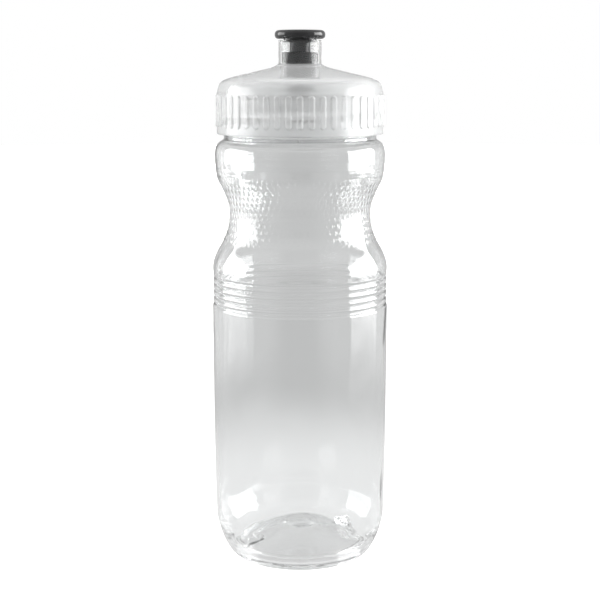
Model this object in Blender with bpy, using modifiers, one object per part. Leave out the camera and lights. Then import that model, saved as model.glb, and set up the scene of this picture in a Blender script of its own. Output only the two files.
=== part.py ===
"""Bicycle water bottle with a screw cap and a push-pull drinking valve.

Metres, +Z up. The origin is the centre of the standing ring under the base, and the bottle, its
thread, the cap and the valve all share the Z axis.
"""

import math

import bmesh
import bpy
from mathutils import Matrix, Vector

COLLECTION = "water_bottle"
HELPERS = "water_bottle_helpers"

BODY_SEGMENTS = 40
CAP_SEGMENTS = 48
VALVE_SEGMENTS = 32
MERGE = 1e-5
GAP = 0.0003

# Bottle body
WALL = 0.0010
BARREL_RADIUS = 0.03675
BARREL_TOP_Z = 0.1065
BARREL_LOW_RADIUS = 0.03645
BARREL_LOW_Z = 0.0345
HEEL_RADIUS = 0.0361
HEEL_HEIGHT = 0.0165
HEEL_POWER = 1.42
STAND_OUTER = 0.0293
STAND_INNER = 0.0277
PUSH_UP_RADIUS = 0.0270
PUSH_UP_HEIGHT = 0.0104
PUSH_UP_SIDE = 0.0021
GATE_RADIUS = 0.0075
GATE_STEP = 0.0004
LUG_RADIUS = 0.0217
LUG_LENGTH = 0.0072
LUG_WIDTH = 0.0012
LUG_TOP_Z = 0.0088
LUG_TURN = math.radians(30)

# (radius, height) of the outer wall from the foot of the neck to the bulge under the grip waist
SHOULDER = ((0.0313, 0.1765), (0.0328, 0.1755), (0.0345, 0.1738), (0.0352, 0.1700), (0.0350, 0.1657))
WAIST = ((0.0343, 0.1605), (0.0323, 0.1565), (0.0306, 0.1525), (0.0295, 0.1490), (0.0293, 0.1450),
         (0.0300, 0.1395), (0.0320, 0.1345), (0.0343, 0.1305), (0.0360, 0.1265), (0.0365, 0.1235))
RING_COUNT = 5
RING_PITCH = 0.00275
RING_TOP_Z = 0.1195
RING_CREST = 0.0363
RING_DEPTH = 0.0007

# Neck and its thread; the cap's thread has the same lead and hand
NECK_RADIUS = 0.0302
NECK_WALL = 0.0015
NECK_FOOT_Z = 0.1787
RIM_Z = 0.1925
BEAD_RADIUS = 0.0313
BEAD_TOP_Z = 0.1780
THREAD_LEAD = 0.0060
THREAD_DEPTH = 0.00125
THREAD_ROOT = 0.00015
THREAD_TURNS = 1.25
THREAD_STEPS = 24
NECK_THREAD_Z = 0.1818
CAP_THREAD_Z = NECK_THREAD_Z - 0.0011

# Cap
SKIRT_BOTTOM_Z = 0.1785
SKIRT_RADIUS = 0.0342
SKIRT_BORE = 0.0320
DECK_Z = 0.1939
PLUG_OUTER = 0.0282
PLUG_INNER = 0.0271
PLUG_BOTTOM_Z = 0.1883
SPIGOT_RADIUS = 0.00874
SPIGOT_BORE = 0.00765
SPIGOT_TOP_Z = 0.2162
LIP_BORE = 0.0070
LIP_HEIGHT = 0.0005
DOME = ((0.00910, 0.2065), (0.0111, 0.2055), (0.0190, 0.2035), (0.0274, 0.2015), (0.0305, 0.2005),
        (0.0323, 0.1995), (0.0333, 0.1979), (0.0339, 0.1955))
DOME_UNDERSIDE = ((PLUG_INNER, 0.1997), (0.0190, 0.2019), (0.0110, 0.2039), (0.0090, 0.2045))
BAR_COUNT = 48
BAR_WIDTH = 0.0024
BAR_BOTTOM_Z = 0.1815
BAR_TOP_Z = 0.1945
BAR_RADIUS = 0.0347
SPOKE_COUNT = 3
SPOKE_WIDTH = 0.0020
HUB_RADIUS = 0.0036
HUB_BOTTOM_Z = 0.1887
HUB_TOP_Z = 0.1915
POST_RADIUS = 0.0023
POST_TOP_Z = 0.2198

# Valve
FLANGE_RADIUS = 0.0103
FLANGE_BOTTOM_Z = 0.2167
FLANGE_TOP_Z = 0.2202
FLANGE_ROUND = 0.0011
DRINK_HOLE = 0.0026
DRINK_HOLE_BOTTOM_Z = 0.2174
BOSS_RADIUS = 0.0067
BOSS_BOTTOM_Z = 0.2155
BOSS_NOTCHES = 6
NOTCH_WIDTH = 0.0009
STEM_RADIUS = 0.00415
STEM_BORE = 0.0034
PISTON_RADIUS = 0.00735
PISTON_TOP_Z = 0.2114
PISTON_BOTTOM_Z = 0.2040
PISTON_BORE = 0.0059
TAIL_RADIUS = 0.0059
TAIL_BORE = 0.0046
TAIL_TOP_Z = 0.2011
TAIL_BOTTOM_Z = 0.1925

# Sealing ring, a gap away from the rim below and the deck above
SEAL_INNER = 0.0286
SEAL_OUTER = 0.0316


def clear_scene():
    for obj in list(bpy.data.objects):
        bpy.data.objects.remove(obj, do_unlink=True)


def make_collection(name):
    collection = bpy.data.collections.new(name)
    bpy.context.scene.collection.children.link(collection)
    return collection


def plastic(name, color, roughness, alpha=1.0, transmission=0.0, ior=1.5):
    material = bpy.data.materials.new(name)
    material.use_nodes = True
    shader = material.node_tree.nodes["Principled BSDF"]
    shader.inputs["Base Color"].default_value = (*color, 1.0)
    shader.inputs["Roughness"].default_value = roughness
    shader.inputs["Metallic"].default_value = 0.0
    shader.inputs["Alpha"].default_value = alpha
    shader.inputs["Transmission Weight"].default_value = transmission
    shader.inputs["IOR"].default_value = ior
    return material


def clear_body_material():
    return plastic("clear_pet", (0.95, 0.96, 0.96), 0.06, transmission=0.9, ior=1.57)


def frosted_cap_material():
    return plastic("frosted_polypropylene", (0.90, 0.91, 0.91), 0.35, transmission=0.5, ior=1.49)


def black_valve_material():
    return plastic("black_valve_plastic", (0.012, 0.012, 0.013), 0.18)


def seal_material():
    return plastic("seal_rubber", (0.80, 0.81, 0.80), 0.55)


def add_object(name, mesh, collection, material=None):
    obj = bpy.data.objects.new(name, mesh)
    collection.objects.link(obj)
    if material:
        mesh.materials.append(material)
        mesh.shade_smooth()
        mesh.set_sharp_from_angle(angle=math.radians(35))
    return obj


def as_helper(obj):
    """Marks an operand of a Boolean, which isn't a part itself."""
    obj.hide_render = True
    obj.display_type = "WIRE"
    return obj


def turned(name, outline, segments, collection, material=None, closed=False):
    """A body turned about Z from (radius, height) points that run down its outer side."""
    mesh = bpy.data.meshes.new(name)
    points = [(radius, 0.0, height) for radius, height in outline]
    edges = [(i, i + 1) for i in range(len(points) - 1)]
    if closed:
        edges.append((len(points) - 1, 0))
    mesh.from_pydata(points, edges, [])
    obj = add_object(name, mesh, collection, material)
    screw = obj.modifiers.new("turn", "SCREW")
    screw.axis = "Z"
    screw.angle = 2 * math.pi
    screw.steps = screw.render_steps = segments
    screw.use_merge_vertices = True
    screw.merge_threshold = MERGE
    screw.use_smooth_shade = True
    return obj


def boolean(obj, other, operation):
    modifier = obj.modifiers.new(f"{operation.lower()}_{other.name}", "BOOLEAN")
    modifier.operation = operation
    modifier.solver = "EXACT"
    modifier.object = other


def rings_outline():
    """The ring grooves below the waist: a zigzag between crest and groove."""
    found = []
    for ring in range(RING_COUNT):
        groove_z = RING_TOP_Z - ring * RING_PITCH
        found.append((RING_CREST, groove_z + RING_PITCH / 2))
        found.append((RING_CREST - RING_DEPTH, groove_z))
    return found


def heel_outline(steps):
    """A superellipse from the foot of the barrel to the standing ring."""
    width = HEEL_RADIUS - STAND_OUTER
    found = []
    for step in range(steps + 1):
        angle = math.pi / 2 * step / steps
        across = math.cos(angle) ** (2 / HEEL_POWER)
        down = math.sin(angle) ** (2 / HEEL_POWER)
        found.append((STAND_OUTER + width * across, HEEL_HEIGHT * (1 - down)))
    return found


def dome_z(radius):
    """The height of the shallow dome under the base."""
    return PUSH_UP_HEIGHT - (PUSH_UP_HEIGHT - PUSH_UP_SIDE) * (radius / PUSH_UP_RADIUS) ** 2


def push_up_outline(steps):
    """From the standing ring up its inner side, over the dome to the gate disc and in to the axis."""
    found = [(STAND_INNER, 0.0)]
    for step in range(steps + 1):
        radius = PUSH_UP_RADIUS + (GATE_RADIUS - PUSH_UP_RADIUS) * step / steps
        found.append((radius, dome_z(radius)))
    gate_z = dome_z(GATE_RADIUS) + GATE_STEP
    return found + [(GATE_RADIUS - GATE_STEP, gate_z), (0.0, gate_z)]


def body_outline():
    """The outer wall from the foot of the neck to the axis under the base."""
    found = [*SHOULDER, *WAIST, *rings_outline()]
    found += [(BARREL_RADIUS, BARREL_TOP_Z), (BARREL_LOW_RADIUS, BARREL_LOW_Z)]
    return found + heel_outline(6) + push_up_outline(5)


def inner_outline():
    """The outer wall's course without the rings and with half of the points, moved in by the wall."""
    found = [*SHOULDER, *WAIST[::2], (RING_CREST, RING_TOP_Z + RING_PITCH)]
    found += [(BARREL_RADIUS - RING_DEPTH, BARREL_TOP_Z + RING_PITCH), (BARREL_LOW_RADIUS, BARREL_LOW_Z)]
    return inset(found + heel_outline(4) + push_up_outline(4), WALL)


def inset(outline, distance):
    """The outline moved to its right-hand side, which is inwards for a wall that runs downwards."""
    found = []
    for i, point in enumerate(outline):
        before = Vector(outline[max(i - 1, 0)])
        after = Vector(outline[min(i + 1, len(outline) - 1)])
        along = (after - before).normalized()
        found.append((point[0] + along.y * distance, point[1] - along.x * distance))
    found[-1] = (0.0, outline[-1][1] + distance)
    return found


def helix_ridge(name, radius, low_z, collection):
    """A right-hand thread ridge: a tube of diamond section whose ends run out to nothing."""
    curve = bpy.data.curves.new(name, "CURVE")
    curve.dimensions = "3D"
    curve.twist_mode = "Z_UP"
    curve.bevel_depth = THREAD_DEPTH
    curve.bevel_resolution = 0
    curve.use_fill_caps = True
    spline = curve.splines.new("POLY")
    count = round(THREAD_STEPS * THREAD_TURNS) + 1
    spline.points.add(count - 1)
    for i, point in enumerate(spline.points):
        angle = 2 * math.pi * i / THREAD_STEPS
        height = low_z + THREAD_LEAD * i / THREAD_STEPS
        point.co = (radius * math.cos(angle), radius * math.sin(angle), height, 1.0)
        point.radius = 0.35 if i in (0, count - 1) else 1.0
    source = bpy.data.objects.new(name + "_path", curve)
    collection.objects.link(source)
    mesh = bpy.data.meshes.new_from_object(source.evaluated_get(bpy.context.evaluated_depsgraph_get()))
    bpy.data.objects.remove(source, do_unlink=True)
    shape = bmesh.new()
    shape.from_mesh(mesh)
    bmesh.ops.remove_doubles(shape, verts=shape.verts, dist=MERGE)
    bmesh.ops.recalc_face_normals(shape, faces=shape.faces)
    shape.to_mesh(mesh)
    shape.free()
    return as_helper(add_object(name, mesh, collection))


def boxes(name, size, places, collection):
    """One helper that holds a box of this size at each of the given matrices."""
    shape = bmesh.new()
    for place in places:
        bmesh.ops.create_cube(shape, size=1.0, matrix=place @ Matrix.Diagonal((*size, 1.0)))
    mesh = bpy.data.meshes.new(name)
    shape.to_mesh(mesh)
    shape.free()
    return as_helper(add_object(name, mesh, collection))


def around(count, radius, height, turn=0.0):
    """Matrices evenly spaced round Z, with X pointing outwards."""
    return [
        Matrix.Rotation(2 * math.pi * i / count + turn, 4, "Z") @ Matrix.Translation((radius, 0, height))
        for i in range(count)
    ]


def make_bottle(parts, helpers):
    outer = [(NECK_RADIUS, RIM_Z), (NECK_RADIUS, NECK_FOOT_Z), (BEAD_RADIUS, BEAD_TOP_Z)]
    outer += body_outline()
    neck_bore = NECK_RADIUS - NECK_WALL
    inner = [(neck_bore, RIM_Z), (neck_bore, NECK_FOOT_Z), *inner_outline()]
    bottle = turned("bottle", inner[::-1] + outer, BODY_SEGMENTS, parts, clear_body_material())
    thread = helix_ridge("neck_thread", NECK_RADIUS - THREAD_ROOT, NECK_THREAD_Z, helpers)
    boolean(bottle, thread, "UNION")
    boolean(bottle, base_lugs(helpers), "UNION")
    return bottle


def base_lugs(helpers):
    """The level-topped lugs inside the base, whose undersides follow the dome within its wall."""
    shape = bmesh.new()
    for place in around(2, LUG_RADIUS, LUG_TOP_Z, LUG_TURN):
        size = Matrix.Diagonal((LUG_LENGTH, LUG_WIDTH, WALL, 1.0))
        made = bmesh.ops.create_cube(shape, size=1.0, matrix=place @ size)
        for vertex in made["verts"]:
            upper = vertex.co.z > LUG_TOP_Z
            vertex.co.z = LUG_TOP_Z if upper else dome_z(vertex.co.xy.length) + WALL / 2
    mesh = bpy.data.meshes.new("base_lugs")
    shape.to_mesh(mesh)
    shape.free()
    return as_helper(add_object("base_lugs", mesh, helpers))


def grip_bars(helpers):
    """The cap's upright grip bars, round at both ends and proud of the skirt."""
    shape = bmesh.new()
    half_run = (BAR_TOP_Z - BAR_BOTTOM_Z - BAR_WIDTH) / 2
    depth = 0.0015
    middle = (BAR_TOP_Z + BAR_BOTTOM_Z) / 2
    lying = Matrix.Rotation(math.pi / 2, 4, "Y") @ Matrix.Rotation(math.pi / 8, 4, "Z")
    for place in around(BAR_COUNT, BAR_RADIUS - depth / 2, middle, math.pi / CAP_SEGMENTS):
        made = bmesh.ops.create_cone(shape, cap_ends=True, segments=8, radius1=BAR_WIDTH / 2,
                                     radius2=BAR_WIDTH / 2, depth=depth, matrix=place @ lying)
        for vertex in made["verts"]:
            vertex.co.z += math.copysign(half_run, vertex.co.z - middle)
    mesh = bpy.data.meshes.new("grip_bars")
    shape.to_mesh(mesh)
    shape.free()
    return as_helper(add_object("grip_bars", mesh, helpers))


def make_cap(parts, helpers):
    edge = 0.0004
    outline = [(LIP_BORE, SPIGOT_TOP_Z), (SPIGOT_RADIUS, SPIGOT_TOP_Z), (SPIGOT_RADIUS, DOME[0][1] + edge)]
    outline += DOME
    outline += [(SKIRT_RADIUS, BAR_TOP_Z), (SKIRT_RADIUS, SKIRT_BOTTOM_Z + edge)]
    outline += [(SKIRT_RADIUS - edge, SKIRT_BOTTOM_Z), (SKIRT_BORE, SKIRT_BOTTOM_Z), (SKIRT_BORE, DECK_Z)]
    outline += [(PLUG_OUTER, DECK_Z), (PLUG_OUTER, PLUG_BOTTOM_Z), (PLUG_INNER, PLUG_BOTTOM_Z)]
    outline += DOME_UNDERSIDE
    outline += [(SPIGOT_BORE, PISTON_BOTTOM_Z), (SPIGOT_BORE, SPIGOT_TOP_Z - LIP_HEIGHT)]
    outline += [(LIP_BORE, SPIGOT_TOP_Z - LIP_HEIGHT)]
    cap = turned("cap", outline, CAP_SEGMENTS, parts, frosted_cap_material(), closed=True)
    boolean(cap, grip_bars(helpers), "UNION")
    boolean(cap, helix_ridge("cap_thread", SKIRT_BORE + THREAD_ROOT, CAP_THREAD_Z, helpers), "UNION")
    inner, outer = HUB_RADIUS - 0.0010, PLUG_INNER + 0.0005
    size = (outer - inner, SPOKE_WIDTH, HUB_TOP_Z - HUB_BOTTOM_Z - edge)
    places = around(SPOKE_COUNT, (outer + inner) / 2, (HUB_TOP_Z + HUB_BOTTOM_Z) / 2, math.pi / 2)
    spokes = boxes("valve_spokes", size, places, helpers)
    post_outline = [(0.0, POST_TOP_Z), (POST_RADIUS - edge, POST_TOP_Z), (POST_RADIUS, POST_TOP_Z - edge),
                    (POST_RADIUS, HUB_TOP_Z), (HUB_RADIUS, HUB_TOP_Z), (HUB_RADIUS, HUB_BOTTOM_Z),
                    (0.0, HUB_BOTTOM_Z)]
    post = as_helper(turned("valve_post", post_outline, VALVE_SEGMENTS // 2, helpers))
    boolean(cap, spokes, "UNION")
    boolean(cap, post, "UNION")
    return cap


def make_seal_ring(parts):
    low, high = RIM_Z + GAP, DECK_Z - GAP
    outline = [(SEAL_INNER, high), (SEAL_OUTER, high), (SEAL_OUTER, low), (SEAL_INNER, low)]
    return turned("seal_ring", outline, CAP_SEGMENTS, parts, seal_material(), closed=True)


def make_valve_spout(parts, helpers):
    edge = 0.0005
    outline = [(DRINK_HOLE + edge, FLANGE_TOP_Z), (FLANGE_RADIUS - FLANGE_ROUND, FLANGE_TOP_Z)]
    outline += [(FLANGE_RADIUS, FLANGE_TOP_Z - FLANGE_ROUND), (FLANGE_RADIUS, FLANGE_BOTTOM_Z + FLANGE_ROUND)]
    outline += [(FLANGE_RADIUS - FLANGE_ROUND, FLANGE_BOTTOM_Z), (BOSS_RADIUS, FLANGE_BOTTOM_Z)]
    outline += [(BOSS_RADIUS, BOSS_BOTTOM_Z), (STEM_RADIUS, BOSS_BOTTOM_Z), (STEM_RADIUS, PISTON_TOP_Z)]
    outline += [(PISTON_RADIUS - edge, PISTON_TOP_Z), (PISTON_RADIUS, PISTON_TOP_Z - edge)]
    outline += [(PISTON_RADIUS, PISTON_BOTTOM_Z), (TAIL_RADIUS, TAIL_TOP_Z), (TAIL_RADIUS, TAIL_BOTTOM_Z)]
    outline += [(TAIL_BORE, TAIL_BOTTOM_Z), (TAIL_BORE, TAIL_TOP_Z), (PISTON_BORE, PISTON_BOTTOM_Z)]
    outline += [(PISTON_BORE, PISTON_TOP_Z - 3 * edge), (STEM_BORE, PISTON_TOP_Z - 2 * edge)]
    outline += [(STEM_BORE, DRINK_HOLE_BOTTOM_Z - edge), (DRINK_HOLE, DRINK_HOLE_BOTTOM_Z)]
    outline += [(DRINK_HOLE, FLANGE_TOP_Z - edge)]
    valve = turned("valve_spout", outline, VALVE_SEGMENTS, parts, black_valve_material(), closed=True)
    inner, outer = STEM_RADIUS + 0.0005, BOSS_RADIUS + 0.0005
    size = (outer - inner, NOTCH_WIDTH, 2 * (FLANGE_BOTTOM_Z - BOSS_BOTTOM_Z))
    places = around(BOSS_NOTCHES, (outer + inner) / 2, BOSS_BOTTOM_Z, math.radians(-75))
    notches = boxes("boss_notches", size, places, helpers)
    boolean(valve, notches, "DIFFERENCE")
    return valve


def main():
    clear_scene()
    parts = make_collection(COLLECTION)
    helpers = make_collection(HELPERS)
    make_bottle(parts, helpers)
    make_cap(parts, helpers)
    make_seal_ring(parts)
    make_valve_spout(parts, helpers)


main()
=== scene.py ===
"""Looks for the clear bicycle water bottle: its pieces in detail, their materials and the studio.

Metres, +Z up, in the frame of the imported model. The Z axis is the bottle's axis, and every piece but
the cap's spokes is turned about it. An outline is a list of (radius, height) points.
"""

import math

import bpy
import numpy as np
from mathutils import Matrix, Vector


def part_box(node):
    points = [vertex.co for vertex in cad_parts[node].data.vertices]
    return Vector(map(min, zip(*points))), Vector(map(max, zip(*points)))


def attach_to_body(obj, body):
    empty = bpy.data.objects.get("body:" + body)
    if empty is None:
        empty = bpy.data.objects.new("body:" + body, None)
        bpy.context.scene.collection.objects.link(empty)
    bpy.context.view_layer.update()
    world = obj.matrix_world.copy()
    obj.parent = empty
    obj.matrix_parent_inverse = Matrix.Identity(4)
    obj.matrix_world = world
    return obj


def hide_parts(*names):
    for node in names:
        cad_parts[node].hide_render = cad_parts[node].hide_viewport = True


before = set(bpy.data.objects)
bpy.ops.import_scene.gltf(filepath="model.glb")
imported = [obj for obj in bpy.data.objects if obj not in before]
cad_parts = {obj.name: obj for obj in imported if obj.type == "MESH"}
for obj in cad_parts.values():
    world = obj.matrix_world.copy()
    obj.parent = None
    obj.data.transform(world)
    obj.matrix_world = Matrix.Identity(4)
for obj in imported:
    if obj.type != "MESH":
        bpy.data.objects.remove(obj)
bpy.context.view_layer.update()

RIM_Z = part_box("bottle")[1][2]
CAP_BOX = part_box("cap")
SEAL_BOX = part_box("seal_ring")
VALVE_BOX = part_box("valve_spout")

# Bottle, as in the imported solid
WALL = 0.0010
NECK_RADIUS = 0.0302
NECK_BORE = 0.0287
NECK_FOOT_Z = 0.1787
THREAD_LEAD = 0.0060
THREAD_TURNS = 1.25
THREAD_HEIGHT = 0.0011
THREAD_CREST = 0.0009
THREAD_RUN_OUT = 0.06
NECK_THREAD_Z = 0.1818
CAP_THREAD_Z = 0.1807
SHOULDER_RINGS = (0.1688, 0.1655, 0.1622)
SHOULDER_RING_DEPTH = 0.00012
SHOULDER_RING_WIDTH = 0.0006
SHOULDER_FOOT = ((0.0315, 0.1763), (0.0328, 0.1755), (0.0345, 0.1738))
WAIST_TOP_Z = 0.1600
WAIST_BOTTOM_Z = 0.1338
DIMPLES_AROUND = 75
DIMPLE_PITCH_Z = 0.0026
DIMPLE_TOP_Z = 0.1585
DIMPLE_BOTTOM_Z = 0.1353
DIMPLE_HEIGHT = 0.00022
DIMPLE_FADE_OUTSIDE = 0.0012
DIMPLE_FADE_INSIDE = 0.0006
RING_COUNT = 5
RING_PITCH = 0.00275
RING_TOP_Z = 0.1195
RING_CREST = 0.0364
RING_DEPTH = 0.0005
BARREL_RADIUS = 0.03673
BARREL_LOW_RADIUS = 0.03643
BARREL_LOW_Z = 0.0345
HEEL_RADIUS = 0.0361
HEEL_HEIGHT = 0.0165
HEEL_POWER = 1.42
WANDER = 0.00005
BOWL_FOOT = (0.0269, 0.0032)
BOWL_TOP = (0.0351, 0.0160)
STAND_OUTER = 0.0293
STAND_INNER = 0.0277
PUSH_UP_RADIUS = 0.0270
PUSH_UP_HEIGHT = 0.0104
PUSH_UP_SIDE = 0.0021
GATE_RADIUS = 0.0075
GATE_STEP = 0.0004
LUG_RADIUS = 0.0217
LUG_LENGTH = 0.0072
LUG_WIDTH = 0.0012
LUG_TOP_Z = 0.0088
LUG_TURN = math.radians(30)

# Cap
SKIRT_RADIUS = 0.0342
SKIRT_BORE = 0.0320
DECK_Z = 0.1939
PLUG_OUTER = 0.0282
PLUG_INNER = 0.0271
PLUG_BOTTOM_Z = 0.1883
SPIGOT_RADIUS = 0.00874
SPIGOT_BORE = 0.00765
SPIGOT_TOP_Z = 0.2162
SPIGOT_FOOT_Z = 0.2069
LIP_BORE = 0.0070
LIP_DEPTH = 0.0005
BAR_COUNT = 48
BAR_WIDTH = 0.0024
BAR_BOTTOM_Z = 0.1815
BAR_TOP_Z = 0.1945
BAR_HEIGHT = 0.0005
POST_RADIUS = 0.0023
HUB_RADIUS = 0.0036
HUB_TOP_Z = 0.1915
HUB_BOTTOM_Z = 0.1887
SPOKE_COUNT = 3
SPOKE_HALF_WIDTH = 0.0010
SPOKE_EDGE = 0.00035

# Valve
FLANGE_RADIUS = 0.0103
FLANGE_HEIGHT = 0.0035
DRINK_RADIUS = 0.0026
DRINK_FOOT_Z = 0.2174
BOSS_RADIUS = 0.0067
BOSS_HEIGHT = 0.0012
STEM_RADIUS = 0.00415
PISTON_RADIUS = 0.00735
PISTON_TOP_Z = 0.2114
PISTON_FOOT_Z = 0.2040
POST_BORE = 0.0034
TUBE_RADIUS = 0.0059
TUBE_BORE = 0.0046
TUBE_TOP_Z = 0.2011
NOTCH_COUNT = 6
NOTCH_WIDTH = 0.0009
NOTCH_TURN = math.radians(-75)
NOTCH_TOP_Z = 0.2166

# Sealing ring
SEAL_INNER = 0.0286
SEAL_OUTER = 0.0316

# Camera
CAMERA_PLACE = (0.0, -0.5168, 0.2045)
CAMERA_PITCH = math.radians(10.5)
LENS_MM = 74.64
SENSOR_MM = 36.0


# ---------------------------------------------------------------- meshes

def spline(points, spacing):
    """A smooth curve through (radius, height) points, with points this far apart."""
    points = np.array(points, float)
    steps = np.linalg.norm(np.diff(points, axis=0), axis=1) ** 0.5
    knots = np.concatenate([[0], np.cumsum(steps)])
    tangents = np.gradient(points, knots, axis=0)
    t = np.linspace(0, 1, 24, endpoint=False)[:, None]
    pieces = []
    for i, width in enumerate(steps):
        leaving = (2 * t**3 - 3 * t**2 + 1) * points[i] + (t**3 - 2 * t**2 + t) * width * tangents[i]
        arriving = (3 * t**2 - 2 * t**3) * points[i + 1] + (t**3 - t**2) * width * tangents[i + 1]
        pieces.append(leaving + arriving)
    return resample(np.concatenate([*pieces, points[-1:]]), spacing)


def resample(points, spacing):
    """The same course with evenly spaced points."""
    points = np.array(points, float)
    along = np.concatenate([[0], np.cumsum(np.linalg.norm(np.diff(points, axis=0), axis=1))])
    count = max(2, round(along[-1] / spacing) + 1)
    places = np.linspace(0, along[-1], count)
    return np.stack([np.interp(places, along, points[:, k]) for k in (0, 1)], axis=1)


def rounded(points, radii, steps=5):
    """The polyline with an arc of the given radius at each inner corner."""
    points = [np.array(point, float) for point in points]
    found = [points[0]]
    for before, corner, after, radius in zip(points, points[1:], points[2:], radii):
        into = (before - corner) / np.linalg.norm(before - corner)
        out = (after - corner) / np.linalg.norm(after - corner)
        half = math.acos(max(-1.0, min(1.0, float(into @ out)))) / 2
        if radius <= 0 or half > 1.55:
            found.append(corner)
            continue
        reach = radius / math.tan(half)
        centre = corner + (into + out) / np.linalg.norm(into + out) * radius / math.sin(half)
        start, end = corner + into * reach - centre, corner + out * reach - centre
        for share in np.linspace(0, 1, steps + 1):
            arm = start * (1 - share) + end * share
            found.append(centre + arm / np.linalg.norm(arm) * radius)
    return np.array([*found, points[-1]])


def bridge(a, b):
    """Faces between two rings given as (first vertex, vertex count); one may have twice the other's."""
    (a0, n), (b0, m) = a, b
    if n == m:
        j = np.arange(n)
        k = (j + 1) % n
        return np.stack([a0 + j, b0 + j, b0 + k, a0 + k], axis=1).tolist()
    if m == 1:
        return [(a0 + j, b0, a0 + (j + 1) % n) for j in range(n)]
    if n == 1:
        return [(a0, b0 + j, b0 + (j + 1) % m) for j in range(m)]
    faces = []
    if n == 2 * m:
        for j in range(m):
            p, q, r = a0 + 2 * j, a0 + 2 * j + 1, a0 + (2 * j + 2) % n
            s, t = b0 + j, b0 + (j + 1) % m
            faces += [(p, s, q), (q, s, t), (q, t, r)]
        return faces
    for j in range(n):
        p, q, r = b0 + 2 * j, b0 + 2 * j + 1, b0 + (2 * j + 2) % m
        s, t = a0 + j, a0 + (j + 1) % n
        faces += [(p, q, s), (s, q, t), (t, q, r)]
    return faces


def turned(name, zones, material, closed=False, sharp=40):
    """A body turned about Z. A zone is (outline, segments, bend); bend shapes each of its rings."""
    vertices, rings, total = [], [], 0
    for outline, count, bend in zones:
        theta = 2 * math.pi * np.arange(count) / count
        for radius, height in outline:
            if radius < 1e-6:
                vertices.append(np.array([[0.0, 0.0, height]]))
            else:
                r, z = np.full(count, float(radius)), np.full(count, float(height))
                if bend:
                    r, z = bend(r, z, theta)
                vertices.append(np.stack([r * np.cos(theta), r * np.sin(theta), z], axis=1))
            rings.append((total, len(vertices[-1])))
            total += len(vertices[-1])
    if closed:
        rings.append(rings[0])
    faces = []
    for a, b in zip(rings, rings[1:]):
        faces += bridge(a, b)
    return add_piece(name, np.concatenate(vertices), faces, material, sharp)


def add_piece(name, vertices, faces, material, sharp=40):
    """A smooth-shaded object, with sharp edges where its faces meet at more than this angle."""
    mesh = bpy.data.meshes.new(name)
    mesh.from_pydata(np.asarray(vertices).tolist(), [], faces)
    mesh.validate()
    mesh.shade_smooth()
    mesh.set_sharp_from_angle(angle=math.radians(sharp))
    mesh.materials.append(material)
    obj = bpy.data.objects.new(name, mesh)
    bpy.context.scene.collection.objects.link(obj)
    return obj


def smoothstep(low, high, values):
    """0 up to low, 1 from high on and a smooth rise between; it falls where low is above high."""
    share = np.clip((values - low) / (high - low), 0, 1)
    return share * share * (3 - 2 * share)


# ---------------------------------------------------------------- bottle

def thread_height(theta, z, start_z):
    """How far a right-hand thread ridge stands off its wall, with ends that run out to nothing."""
    found = np.zeros_like(theta)
    for turn in (0, 1):
        along = theta / (2 * math.pi) + turn
        off = np.abs(z - start_z - THREAD_LEAD * along)
        ends = smoothstep(0, THREAD_RUN_OUT, along) * smoothstep(0, THREAD_RUN_OUT, THREAD_TURNS - along)
        ridge = np.clip(THREAD_HEIGHT - off, 0, THREAD_CREST) * ends
        found = np.maximum(found, ridge)
    return found


def neck_bend(r, z, theta):
    return r + thread_height(theta, z, NECK_THREAD_Z), z


def shoulder_bend(r, z, theta):
    """Faint grooves round the shoulder."""
    for ring_z in SHOULDER_RINGS:
        r = r - SHOULDER_RING_DEPTH * np.exp(-(((z - ring_z) / SHOULDER_RING_WIDTH) ** 2))
    return r, z


def dimple_bend(r, z, theta):
    """Staggered rows of small bumps that fade out at the ends of the waist."""
    wave = np.cos(DIMPLES_AROUND * theta) * np.cos(math.pi * (z - DIMPLE_BOTTOM_Z) / DIMPLE_PITCH_Z)
    above = smoothstep(DIMPLE_BOTTOM_Z - DIMPLE_FADE_OUTSIDE, DIMPLE_BOTTOM_Z + DIMPLE_FADE_INSIDE, z)
    below = smoothstep(DIMPLE_TOP_Z + DIMPLE_FADE_OUTSIDE, DIMPLE_TOP_Z - DIMPLE_FADE_INSIDE, z)
    return r + DIMPLE_HEIGHT * above * below * np.clip(wave, 0, 1) ** 1.5, z


def lug_bend(r, z, theta):
    """The two level-topped lugs that stand on the inside of the base."""
    for turn in (LUG_TURN, LUG_TURN + math.pi):
        along = r * np.cos(theta - turn) - LUG_RADIUS
        across = r * np.sin(theta - turn)
        inside = smoothstep(LUG_LENGTH / 2 + 0.0002, LUG_LENGTH / 2 - 0.0003, np.abs(along))
        inside = inside * smoothstep(LUG_WIDTH / 2 + 0.0002, LUG_WIDTH / 2 - 0.0002, np.abs(across))
        z = z + np.maximum(LUG_TOP_Z - z, 0) * inside
    return r, z


def wall_wander(r, z, theta):
    """The slow changes of a blown wall's thickness, on the inside."""
    wave = np.zeros_like(theta)
    for share, around, upward, start in ((1.0, 3, 41, 0.4), (0.8, 5, -67, 1.9), (0.6, 8, 93, 0.0),
                                         (0.5, 2, 160, 2.2), (0.35, 11, -120, 0.7)):
        wave += share * np.sin(around * theta + upward * z + start)
    fade = smoothstep(0.018, BARREL_LOW_Z + 0.0005, z)
    return r - WANDER * wave * fade, z


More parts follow.
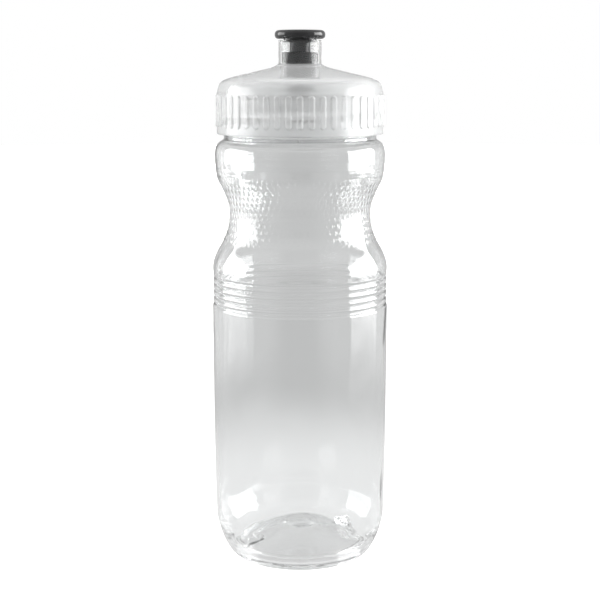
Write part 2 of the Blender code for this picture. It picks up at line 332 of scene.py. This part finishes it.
def ring_outline():
    """The five grooves, with broad crests between them."""
    top, bottom = RING_TOP_Z + 0.75 * RING_PITCH, RING_TOP_Z - (RING_COUNT - 0.35) * RING_PITCH
    z = np.linspace(top, bottom, 60)
    phase = 2 * math.pi * (z - RING_TOP_Z) / RING_PITCH
    groove = ((1 + np.cos(phase)) / 2) ** 1.6
    groove *= smoothstep(top, top - 0.4 * RING_PITCH, z)
    groove *= smoothstep(bottom, bottom + 0.4 * RING_PITCH, z)
    crest = RING_CREST + (BARREL_RADIUS - RING_CREST) * smoothstep(bottom + RING_PITCH, bottom, z)
    return np.stack([crest - RING_DEPTH * groove, z], axis=1)


def barrel_outline(spacing):
    """From under the rings to the top of the heel, drawn in slightly on the way down."""
    top = RING_TOP_Z - 4.9 * RING_PITCH
    return spline([(BARREL_RADIUS, top), (BARREL_RADIUS, 0.1025), (BARREL_RADIUS, 0.0845),
                   (BARREL_LOW_RADIUS, BARREL_LOW_Z), (HEEL_RADIUS, HEEL_HEIGHT)], spacing)


def heel_outline():
    """The outside of the heel: a quarter superellipse down to the standing ring."""
    angle = np.linspace(0, math.pi / 2, 40)
    radius = STAND_OUTER + (HEEL_RADIUS - STAND_OUTER) * np.cos(angle) ** (2 / HEEL_POWER)
    return np.stack([radius, HEEL_HEIGHT * (1 - np.sin(angle) ** (2 / HEEL_POWER))], axis=1)


def bowl_outline():
    """The inside of the heel: a quarter ellipse, so the wall varies where it is blown into the corner."""
    angle = np.linspace(0, math.pi / 2, 20)
    radius = BOWL_FOOT[0] + (BOWL_TOP[0] - BOWL_FOOT[0]) * np.cos(angle)
    return np.stack([radius, BOWL_TOP[1] - (BOWL_TOP[1] - BOWL_FOOT[1]) * np.sin(angle)], axis=1)


def dome_z(radius):
    """The height of the base's shallow dome."""
    return PUSH_UP_HEIGHT - (PUSH_UP_HEIGHT - PUSH_UP_SIDE) * (radius / PUSH_UP_RADIUS) ** 2


def push_up_outline(spacing):
    """The inner side of the standing ring, the shallow dome and the step of the gate disc."""
    radius = np.linspace(PUSH_UP_RADIUS, GATE_RADIUS, round((PUSH_UP_RADIUS - GATE_RADIUS) / spacing))
    dome = [(r, dome_z(r)) for r in radius[1:]]
    gate_z = dome_z(GATE_RADIUS) + GATE_STEP
    foot = rounded([(STAND_OUTER - 0.0004, 0.0), (STAND_INNER, 0.0), (PUSH_UP_RADIUS, PUSH_UP_SIDE),
                    dome[2]], [0.0004, 0.0006], 4)
    gate = rounded([dome[-2], (GATE_RADIUS, gate_z - GATE_STEP), (GATE_RADIUS - GATE_STEP, gate_z),
                    (0.004, gate_z)], [0.0002, 0.0002], 3)
    return np.concatenate([foot[1:-1], dome[2:-2], gate])


def upper_points():
    """From the foot of the shoulder through the waist to the bulge under it."""
    return [(0.0352, 0.1700), (0.0350, 0.1657), (0.0343, 0.1605), (0.0323, 0.1565), (0.0306, 0.1525),
            (0.0295, 0.1490), (0.0293, 0.1450), (0.0300, 0.1395), (0.0320, 0.1345), (0.0343, 0.1305),
            (0.0360, 0.1265), (0.0365, 0.1235), (RING_CREST, RING_TOP_Z + 0.75 * RING_PITCH)]


def outer_zones(fine, middle):
    """The outside of the wall, from the rim down to the axis under the base."""
    neck = [(NECK_RADIUS, RIM_Z), (NECK_RADIUS, NECK_FOOT_Z + 0.0004)]
    neck = resample(rounded([(NECK_BORE + 0.0006, RIM_Z), *neck], [0.0004]), 0.00045)
    bead = [(0.0302, 0.1789), (0.0306, 0.1783), (0.0313, 0.1779), (0.0314, 0.1771)]
    shoulder = spline([*bead, *SHOULDER_FOOT, *upper_points()], 0.00055)
    waist = spline(upper_points(), 0.00030)
    shoulder = shoulder[shoulder[:, 1] > WAIST_TOP_Z + 0.0001]
    below = waist[waist[:, 1] < WAIST_BOTTOM_Z - 0.0001][::3]
    waist = waist[(waist[:, 1] < WAIST_TOP_Z - 0.0001) & (waist[:, 1] > WAIST_BOTTOM_Z + 0.0001)]
    barrel = barrel_outline(0.0040)
    heel = resample(heel_outline(), 0.0010)
    base = push_up_outline(0.0012)
    centre = [(0.002, base[-1][1]), (0.0, base[-1][1])]
    return [(neck, middle, neck_bend), (shoulder, middle, shoulder_bend), (waist, fine, dimple_bend),
            (below, middle, None), (ring_outline(), middle, None), (barrel, middle, None),
            (heel[1:], middle, None), (base, middle, None), (centre, middle, None)]


def inset(outline, distance):
    """The outline moved to its inner side."""
    outline = np.array(outline)
    along = np.gradient(outline, axis=0)
    along /= np.linalg.norm(along, axis=1)[:, None]
    return outline + np.stack([along[:, 1], -along[:, 0]], axis=1) * distance


def inner_zones(fine, middle):
    """The inside of the wall, from the axis up to the rim: the outside moved in, but for the bowl."""
    top = spline([*SHOULDER_FOOT, *upper_points()], 0.0011)
    waist = spline(upper_points(), 0.00100)
    waist_top, waist_bottom = WAIST_TOP_Z - 0.0001, WAIST_BOTTOM_Z + 0.0001
    dome = [(r, dome_z(r)) for r in np.arange(PUSH_UP_RADIUS - 0.0011, 0.0018, -0.0005)]
    course = [top[top[:, 1] > waist_top], waist[(waist[:, 1] < waist_top) & (waist[:, 1] > waist_bottom)],
              waist[waist[:, 1] < waist_bottom], ring_outline()[::2], barrel_outline(0.0030), dome]
    ends = np.cumsum([len(part) for part in course])
    top, waist, below, rings, barrel, base = np.split(inset(np.concatenate(course), WALL), ends[:-1])
    centre = [(0.0, base[-1][1]), (0.002, base[-1][1])]
    neck = [(NECK_BORE + 0.0004, RIM_Z), (NECK_BORE, RIM_Z - 0.0004), (NECK_BORE, 0.1835),
            (NECK_BORE, 0.1791)]
    downward = [(neck, middle, None), (top, middle, shoulder_bend), (waist, middle, None),
                (below, middle, wall_wander), (rings, middle, wall_wander),
                (barrel[:-1], middle, wall_wander), (bowl_outline(), middle, None), (base, fine, lug_bend)]
    upward = [(outline[::-1], count, bend) for outline, count, bend in downward[::-1]]
    return [(centre, middle, None), *upward]


def make_bottle():
    """One closed body, with its finest rings on the dimples and the lugs."""
    fine = 600
    zones = inner_zones(fine, fine // 2) + outer_zones(fine, fine // 2)
    return turned("bottle_body", zones, clear_pet(), sharp=70)


# ---------------------------------------------------------------- cap

def bar_bend(r, z, theta):
    """Upright grip bars with round ends and softened edges."""
    pitch = 2 * math.pi / BAR_COUNT
    off = (np.mod(theta + pitch / 2, pitch) - pitch / 2) * SKIRT_RADIUS
    low, high = BAR_BOTTOM_Z + BAR_WIDTH / 2, BAR_TOP_Z - BAR_WIDTH / 2
    reach = np.hypot(off, z - np.clip(z, low, high))
    bar = smoothstep(BAR_WIDTH / 2 + 0.0001, BAR_WIDTH / 2 - 0.0004, reach)
    return r + BAR_HEIGHT * bar, z


def cap_thread_bend(r, z, theta):
    return r - thread_height(theta, z, CAP_THREAD_Z), z


def make_cap():
    """The closed shell of the cap: spigot, dome, skirt with its bars, thread, deck and plug ring."""
    fine, middle, coarse = 768, 384, 192
    low, high = CAP_BOX[0][2], SPIGOT_TOP_Z
    lip_low = high - LIP_DEPTH
    spigot = rounded([(LIP_BORE, high), (SPIGOT_RADIUS, high), (SPIGOT_RADIUS, SPIGOT_FOOT_Z)], [0.0002])
    spigot = np.concatenate([spigot[:-1], resample(spigot[-2:], 0.0012)])
    dome = spline([(SPIGOT_RADIUS, SPIGOT_FOOT_Z), (0.0091, 0.2065), (0.0111, 0.2055), (0.0190, 0.2035),
                   (0.0274, 0.2015), (0.0305, 0.2005), (0.0323, 0.1995), (0.0333, 0.1979),
                   (0.0339, 0.1955), (SKIRT_RADIUS, 0.1947)], 0.0009)
    bars = np.concatenate([np.linspace(BAR_TOP_Z + 0.0001, BAR_TOP_Z - 0.0016, 9),
                           np.linspace(BAR_TOP_Z - 0.0030, BAR_BOTTOM_Z + 0.0030, 4),
                           np.linspace(BAR_BOTTOM_Z + 0.0016, BAR_BOTTOM_Z - 0.0001, 9)])
    bars = [(SKIRT_RADIUS, z) for z in bars]
    foot = rounded([(SKIRT_RADIUS, BAR_BOTTOM_Z - 0.0006), (SKIRT_RADIUS, low), (SKIRT_BORE, low),
                    (SKIRT_BORE, low + 0.0008)], [0.0005, 0.0003])
    thread = [(SKIRT_BORE, z) for z in np.arange(low + 0.0012, 0.1917, 0.00040)]
    deck = rounded([(SKIRT_BORE, 0.1921), (SKIRT_BORE, DECK_Z), (PLUG_OUTER, DECK_Z),
                    (PLUG_OUTER, PLUG_BOTTOM_Z), (PLUG_INNER, PLUG_BOTTOM_Z), (PLUG_INNER, 0.1985)],
                   [0.0002, 0.0002, 0.0003, 0.0003])
    under = spline([(PLUG_INNER, 0.1987), (0.0266, 0.1997), (0.0250, 0.2002), (0.0190, 0.2019),
                    (0.0110, 0.2039), (0.0090, 0.2043)], 0.0014)
    bore = rounded([(0.0086, 0.2043), (SPIGOT_BORE, 0.2043), (SPIGOT_BORE, lip_low), (LIP_BORE, lip_low),
                    (LIP_BORE, high - 0.0001)], [0.0003, 0.0001, 0.0])
    zones = [(spigot, coarse, None), (dome, middle, None), (bars, fine, bar_bend), (foot, middle, None),
             (thread, middle, cap_thread_bend), (deck, coarse, None), (under, coarse, None),
             (bore, coarse, None)]
    return turned("cap_shell", zones, frosted_cap(), closed=True, sharp=50)


def make_post():
    """The fixed post that shuts the valve, on a hub held by spokes."""
    top = CAP_BOX[1][2]
    outline = rounded([(0.0, top), (POST_RADIUS, top), (POST_RADIUS, HUB_TOP_Z), (HUB_RADIUS, HUB_TOP_Z),
                       (HUB_RADIUS, HUB_BOTTOM_Z), (0.0, HUB_BOTTOM_Z)], [0.0004, 0.0003, 0.0003, 0.0003])
    pieces = [turned("cap_post", [(outline, 64, None)], frosted_cap(), sharp=50)]
    for i in range(SPOKE_COUNT):
        pieces.append(make_spoke(f"cap_spoke_{i + 1}", math.pi / 2 + 2 * math.pi * i / SPOKE_COUNT))
    return pieces


def make_spoke(name, turn):
    """A spoke with rounded edges from the hub to the plug ring, deeper at the ring."""
    half, edge = SPOKE_HALF_WIDTH, SPOKE_EDGE
    section = []
    for side_y, side_z in ((1, 1), (-1, 1), (-1, -1), (1, -1)):
        part = [(side_y * half, side_z, edge), (side_y * (half - edge * 0.3), side_z, edge * 0.3),
                (side_y * (half - edge), side_z, 0.0)]
        section += part if side_y * side_z > 0 else part[::-1]
    vertices, faces = [], []
    places = np.linspace(HUB_RADIUS - 0.0006, PLUG_INNER + 0.0004, 14)
    for x in places:
        lift = 0.0006 * smoothstep(0.018, 0.027, np.array(x))
        bottom, top = HUB_BOTTOM_Z + 0.0002, HUB_TOP_Z - 0.0004 + float(lift)
        for y, side_z, drop in section:
            z = top - drop if side_z > 0 else bottom + drop
            vertices.append((x, y, z))
    count = len(section)
    for i in range(len(places) - 1):
        for j in range(count):
            k = (j + 1) % count
            faces.append((i * count + j, i * count + k, (i + 1) * count + k, (i + 1) * count + j))
    faces.append(tuple(range(count))[::-1])
    faces.append(tuple(range((len(places) - 1) * count, len(places) * count)))
    matrix = Matrix.Rotation(turn, 4, "Z")
    vertices = [tuple(matrix @ Vector(vertex)) for vertex in vertices]
    return add_piece(name, vertices, faces, frosted_cap(), 50)


# ---------------------------------------------------------------- valve and seal

def notch_bend(r, z, theta):
    """Small notches cut up into the boss under the flange."""
    pitch = 2 * math.pi / NOTCH_COUNT
    off = (np.mod(theta - NOTCH_TURN + pitch / 2, pitch) - pitch / 2) * r
    notch = smoothstep(NOTCH_WIDTH / 2 + 0.00008, NOTCH_WIDTH / 2 - 0.00008, np.abs(off))
    notch = notch * (r > STEM_RADIUS + 0.0004)
    return r, z + (NOTCH_TOP_Z - z) * notch


def make_valve():
    """The valve as one closed body: flange, boss with its notches, then stem, piston, tube and bore."""
    top, bottom = VALVE_BOX[1][2], VALVE_BOX[0][2]
    under = top - FLANGE_HEIGHT
    boss_low = under - BOSS_HEIGHT
    flange = rounded([(DRINK_RADIUS, DRINK_FOOT_Z), (DRINK_RADIUS, top), (FLANGE_RADIUS, top),
                      (FLANGE_RADIUS, under), (BOSS_RADIUS, under)], [0.0005, 0.0016, 0.0015], 9)
    boss = [(BOSS_RADIUS, under - 0.0001), (BOSS_RADIUS, boss_low + 0.0002), (BOSS_RADIUS - 0.0002, boss_low),
            (0.0055, boss_low), (STEM_RADIUS + 0.00045, boss_low), (STEM_RADIUS + 0.0002, boss_low)]
    outside = [(STEM_RADIUS, boss_low - 0.0002), (STEM_RADIUS, PISTON_TOP_Z), (PISTON_RADIUS, PISTON_TOP_Z),
               (PISTON_RADIUS, PISTON_FOOT_Z), (TUBE_RADIUS, TUBE_TOP_Z), (TUBE_RADIUS, bottom)]
    inside = [(TUBE_BORE, bottom), (TUBE_BORE, TUBE_TOP_Z), (TUBE_RADIUS, PISTON_FOOT_Z),
              (TUBE_RADIUS, 0.2099), (POST_BORE, 0.2104), (POST_BORE, 0.2169),
              (DRINK_RADIUS, DRINK_FOOT_Z - 0.0001)]
    edges = [0.0002, 0.0004, 0.0002, 0.0005, 0.0003, 0.0003, 0.0005, 0.0005, 0.0003, 0.0003, 0.0002]
    stem = rounded([*outside, *inside], edges, 4)
    count = 384
    zones = [(flange, count // 2, None), (boss, count, notch_bend), (stem, count // 2, None)]
    return turned("valve_spout_body", zones, black_valve(), closed=True, sharp=45)


def make_seal():
    """A flat ring with rounded edges."""
    low, high = SEAL_BOX[0][2], SEAL_BOX[1][2]
    inner, outer = SEAL_INNER, SEAL_OUTER
    middle = (inner + outer) / 2
    outline = rounded([(middle, high), (outer, high), (outer, low), (inner, low), (inner, high),
                       (middle, high)], [0.00025] * 4)
    return turned("seal_washer", [(outline[:-1], 192, None)], seal_silicone(), closed=True)


# ---------------------------------------------------------------- materials

def new_material(name):
    """A new material with its node tree and shader, or the one that was made before and two Nones."""
    material = bpy.data.materials.get(name)
    if material:
        return material, None, None
    material = bpy.data.materials.new(name)
    material.use_nodes = True
    tree = material.node_tree
    return material, tree, tree.nodes["Principled BSDF"]


def node(tree, kind, inputs=(), **settings):
    """A node with these settings; an input is given as a value or as the socket that feeds it."""
    made = tree.nodes.new(kind)
    for key, value in settings.items():
        setattr(made, key, value)
    for key, value in dict(inputs).items():
        if isinstance(value, bpy.types.NodeSocket):
            tree.links.new(value, made.inputs[key])
        else:
            made.inputs[key].default_value = value
    return made


def math_node(tree, operation, *values):
    return node(tree, "ShaderNodeMath", enumerate(values), operation=operation).outputs[0]


def soft_edge(tree, value, low, high):
    """The shader's own smoothstep."""
    inputs = {"Value": value, "From Min": low, "From Max": high, "To Min": 0.0, "To Max": 1.0}
    return node(tree, "ShaderNodeMapRange", inputs, interpolation_type="SMOOTHSTEP").outputs["Result"]


def by_height(tree, low, high):
    """A soft edge over the object's own height."""
    place = node(tree, "ShaderNodeTexCoord").outputs["Object"]
    return soft_edge(tree, node(tree, "ShaderNodeSeparateXYZ", {"Vector": place}).outputs["Z"], low, high)


def noise(tree, scale, detail=3.0, stretch=(1, 1, 1)):
    """Noise in the object's own metres; scale is in features per metre."""
    coordinates = node(tree, "ShaderNodeTexCoord").outputs["Object"]
    mapping = node(tree, "ShaderNodeMapping", {"Vector": coordinates, "Scale": stretch})
    inputs = {"Vector": mapping.outputs["Vector"], "Scale": scale, "Detail": detail, "Roughness": 0.5}
    return node(tree, "ShaderNodeTexNoise", inputs).outputs["Fac"]


def spread(tree, value, low, high, start=0.3, end=0.7):
    """The value's part between start and end, spread from low to high."""
    inputs = {"Value": value, "From Min": start, "From Max": end, "To Min": low, "To Max": high}
    return node(tree, "ShaderNodeMapRange", inputs).outputs["Result"]


def mottle(tree, shader, scale, dark, light):
    """A base colour that wanders between two greys, given as (red, green, blue)."""
    inputs = {"Factor": noise(tree, scale), "A": (*dark, 1), "B": (*light, 1)}
    colour = node(tree, "ShaderNodeMix", inputs, data_type="RGBA")
    tree.links.new(colour.outputs["Result"], shader.inputs["Base Color"])


def bump(tree, height, distance, strength=1.0, normal=None):
    inputs = {"Height": height, "Distance": distance, "Strength": strength}
    if normal:
        inputs["Normal"] = normal
    return node(tree, "ShaderNodeBump", inputs).outputs["Normal"]


def clear_pet():
    """Blown clear PET: glossy, with slow waves in the wall, faint marks and an uneven, chilled base."""
    material, tree, shader = new_material("clear_pet_wall")
    if not tree:
        return material
    shader.inputs["Base Color"].default_value = (0.975, 0.982, 0.982, 1)
    shader.inputs["Transmission Weight"].default_value = 1.0
    shader.inputs["IOR"].default_value = 1.57
    marks = spread(tree, noise(tree, 220, 5.0, (1, 1, 0.35)), 0.012, 0.055, 0.45, 0.75)
    tree.links.new(marks, shader.inputs["Roughness"])
    waves = bump(tree, noise(tree, 75, 1.0, (1, 1, 0.45)), 0.0006, 0.35)
    chilled = math_node(tree, "MULTIPLY", by_height(tree, PUSH_UP_HEIGHT + 0.004, PUSH_UP_HEIGHT), 0.8)
    tree.links.new(bump(tree, noise(tree, 110, 2.0), 0.0004, chilled, waves), shader.inputs["Normal"])
    return material


def frosted_cap():
    """Injection-moulded natural polypropylene: satin and milky, clear and glossy on the spigot."""
    material, tree, shader = new_material("frosted_polypropylene_cap")
    if not tree:
        return material
    clear = by_height(tree, SPIGOT_FOOT_Z - 0.0012, SPIGOT_FOOT_Z + 0.0004)
    satin = spread(tree, noise(tree, 600, 3.0), 0.15, 0.21)
    gloss = math_node(tree, "MULTIPLY", satin, math_node(tree, "MULTIPLY_ADD", clear, -0.75, 1.0))
    tree.links.new(gloss, shader.inputs["Roughness"])
    tree.links.new(math_node(tree, "MULTIPLY_ADD", clear, 0.25, 0.73), shader.inputs["Transmission Weight"])
    mottle(tree, shader, 260, (0.95, 0.96, 0.96), (0.99, 0.995, 0.995))
    tree.links.new(math_node(tree, "MULTIPLY_ADD", clear, -0.27, 1.49), shader.inputs["IOR"])
    shader.inputs["Specular IOR Level"].default_value = 0.35
    tree.links.new(bump(tree, noise(tree, 150, 1.0), 0.0002, 0.3), shader.inputs["Normal"])
    return material


def black_valve():
    """Black moulded plastic: glossy above the spigot, duller where the spigot covers it, a little worn."""
    material, tree, shader = new_material("black_valve_plastic_gloss")
    if not tree:
        return material
    shader.inputs["IOR"].default_value = 1.5
    mottle(tree, shader, 400, (0.008, 0.008, 0.009), (0.018, 0.018, 0.019))
    tree.links.new(spread(tree, noise(tree, 700, 4.0), 0.08, 0.15), shader.inputs["Roughness"])
    polished = by_height(tree, SPIGOT_TOP_Z - 0.0004, SPIGOT_TOP_Z + 0.0004)
    tree.links.new(math_node(tree, "MULTIPLY_ADD", polished, 0.35, 0.08), shader.inputs["Specular IOR Level"])
    tree.links.new(bump(tree, noise(tree, 300, 2.0), 0.00006, 0.5), shader.inputs["Normal"])
    return material


def seal_silicone():
    """Milky silicone rubber."""
    material, tree, shader = new_material("seal_silicone_rubber")
    if not tree:
        return material
    shader.inputs["IOR"].default_value = 1.43
    shader.inputs["Transmission Weight"].default_value = 0.5
    mottle(tree, shader, 500, (0.78, 0.79, 0.78), (0.86, 0.87, 0.86))
    tree.links.new(spread(tree, noise(tree, 900, 4.0), 0.45, 0.6), shader.inputs["Roughness"])
    tree.links.new(bump(tree, noise(tree, 2200, 2.0), 0.00003, 0.5), shader.inputs["Normal"])
    return material


# ---------------------------------------------------------------- studio

GREY_WALL = 0.54
SOFTBOX_POWER = 10.0
# (side, strength, azimuth limits in degrees from that side's X axis towards +Y)
SOFTBOXES = ((1, 0.9, -20, 30), (-1, 0.54, -15, 31))
SOFTBOX_LOW = (-0.284, 0.10)
SOFTBOX_HIGH = (0.39, 0.47)
SIDE_GLOW = 0.36
SIDE_FADE = (0.25, 0.8)
TOP_GLOW = 0.5
TOP_FADE = (0.35, 0.7)
TABLE_NEAR = 0.85
TABLE_FAR = 0.52
# painted shadow: how much dimmer the table glows under the bottle's base
TABLE_SHADE = 0.24
TABLE_FADE = (0.30, 0.10)
TABLE_RIM = (0.20, 0.36)
TABLE_Z = -0.0002
FLOOR_RADIUS = 3.0
FLOOR_Z = -0.0012
WHITE = (1, 1, 1, 1)


def softbox(tree, x, y, z, side, strength, start, end):
    """1 inside a softbox's patch of the surroundings, 0 outside, by direction."""
    angle = math_node(tree, "ARCTAN2", y, math_node(tree, "MULTIPLY", x, float(side)))
    sides = (soft_edge(tree, angle, math.radians(start - 1), math.radians(start + 1)),
             soft_edge(tree, angle, math.radians(end + 1), math.radians(end - 1)))
    ends = (soft_edge(tree, z, *SOFTBOX_LOW), soft_edge(tree, z, *SOFTBOX_HIGH[::-1]))
    across, upright = (math_node(tree, "MULTIPLY", *edges) for edges in (sides, ends))
    return math_node(tree, "MULTIPLY", math_node(tree, "MULTIPLY", across, upright), strength)


def make_world():
    """A grey room with a tall softbox on each side; white where the camera looks past the object.

    The softboxes light and mirror in the object, but the clear wall shows the room straight through.
    """
    world = bpy.data.worlds.new("studio")
    bpy.context.scene.world = world
    world.use_nodes = True
    tree = world.node_tree
    tree.nodes.clear()
    direction = node(tree, "ShaderNodeTexCoord").outputs["Generated"]
    parts = node(tree, "ShaderNodeSeparateXYZ", {"Vector": direction}).outputs
    boxes = [softbox(tree, parts["X"], parts["Y"], parts["Z"], *place) for place in SOFTBOXES]
    path = node(tree, "ShaderNodeLightPath").outputs
    unturned = [math_node(tree, "LESS_THAN", path[name], 0.5) for name in ("Glossy Depth", "Diffuse Depth")]
    through = math_node(tree, "MULTIPLY", *unturned)
    straight = math_node(tree, "MULTIPLY", path["Is Transmission Ray"], through)
    seen = math_node(tree, "SUBTRACT", 1.0, straight)
    both = math_node(tree, "MULTIPLY", math_node(tree, "ADD", *boxes), seen)
    sideways = soft_edge(tree, math_node(tree, "ABSOLUTE", parts["X"]), *SIDE_FADE)
    room_light = math_node(tree, "MULTIPLY_ADD", sideways, SIDE_GLOW, GREY_WALL)
    overhead = soft_edge(tree, parts["Z"], *TOP_FADE)
    room_light = math_node(tree, "MULTIPLY_ADD", overhead, TOP_GLOW, room_light)
    light = math_node(tree, "MULTIPLY_ADD", both, SOFTBOX_POWER, room_light)
    room = node(tree, "ShaderNodeBackground", {"Color": WHITE, "Strength": light})
    white = node(tree, "ShaderNodeBackground", {"Color": WHITE, "Strength": 1.0})
    inputs = {0: path["Is Camera Ray"], 1: room.outputs[0], 2: white.outputs[0]}
    mix = node(tree, "ShaderNodeMixShader", inputs)
    node(tree, "ShaderNodeOutputWorld", {"Surface": mix.outputs[0]}).is_active_output = True


def flat_disc(name, radius, height, material, segments=96):
    angle = 2 * math.pi * np.arange(segments) / segments
    ring = np.stack([radius * np.cos(angle), radius * np.sin(angle), np.full(segments, height)], axis=1)
    mesh = bpy.data.meshes.new(name)
    mesh.from_pydata(ring.tolist(), [], [tuple(range(segments))])
    mesh.materials.append(material)
    obj = bpy.data.objects.new(name, mesh)
    bpy.context.scene.collection.objects.link(obj)
    return obj


def make_stage():
    """A white floor that only the camera sees, and the pale table that lights the bottle from below.

    The table's light falls off with distance, has a painted shadow under the bottle and fades out at the rim.
    """
    pale, tree, shader = new_material("pale_floor")
    shader.inputs["Base Color"].default_value = (0.9, 0.9, 0.9, 1)
    shader.inputs["Roughness"].default_value = 0.9
    shader.inputs["Emission Color"].default_value = WHITE
    shader.inputs["Emission Strength"].default_value = 0.9
    floor = flat_disc("floor", FLOOR_RADIUS, FLOOR_Z, pale)
    floor.visible_diffuse = floor.visible_glossy = floor.visible_transmission = floor.visible_shadow = False
    top, tree, _ = new_material("table_top")
    place = node(tree, "ShaderNodeTexCoord").outputs["Object"]
    away = node(tree, "ShaderNodeVectorMath", {0: place}, operation="LENGTH").outputs["Value"]
    fade = soft_edge(tree, away, *TABLE_FADE)
    open_light = math_node(tree, "MULTIPLY_ADD", fade, TABLE_NEAR - TABLE_FAR, TABLE_FAR)
    # painted shadow: the table's glow is made dimmer under the bottle's base, by TABLE_SHADE
    shade = soft_edge(tree, away, STAND_OUTER - 0.0005, STAND_INNER - 0.0025)
    light = math_node(tree, "MULTIPLY_ADD", shade, -TABLE_SHADE, open_light)
    glow = node(tree, "ShaderNodeEmission", {"Strength": light}).outputs[0]
    nothing = node(tree, "ShaderNodeBsdfTransparent").outputs[0]
    rim = node(tree, "ShaderNodeMixShader", {0: soft_edge(tree, away, *TABLE_RIM), 1: glow, 2: nothing})
    node(tree, "ShaderNodeOutputMaterial", {"Surface": rim.outputs[0]}).is_active_output = True
    table = flat_disc("table", TABLE_RIM[1], TABLE_Z, top)
    table.visible_camera = False


def make_camera():
    """The camera at the photograph's distance, height and pitch."""
    camera = bpy.data.cameras.new("camera")
    camera.lens = LENS_MM
    camera.sensor_width = SENSOR_MM
    obj = bpy.data.objects.new("camera", camera)
    bpy.context.scene.collection.objects.link(obj)
    obj.location = CAMERA_PLACE
    obj.rotation_euler = (math.pi / 2 - CAMERA_PITCH, 0.0, 0.0)
    bpy.context.scene.camera = obj


def attach(piece, body, slot, *nodes):
    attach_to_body(piece, body)
    if nodes:
        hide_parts(*nodes)


def main():
    scene = bpy.context.scene
    scene.view_settings.view_transform = "Standard"
    scene.cycles.max_bounces = 48
    scene.cycles.transmission_bounces = 48
    scene.cycles.glossy_bounces = 16
    make_camera()
    make_world()
    make_stage()
    attach(make_bottle(), "bottle", "clear_pet", "bottle")
    attach(make_cap(), "cap", "frosted_cap", "cap")
    for piece in make_post():
        attach(piece, "cap", "frosted_cap")
    attach(make_seal(), "seal", "seal_rubber", "seal_ring")
    attach(make_valve(), "valve", "black_valve", "valve_spout")


main()
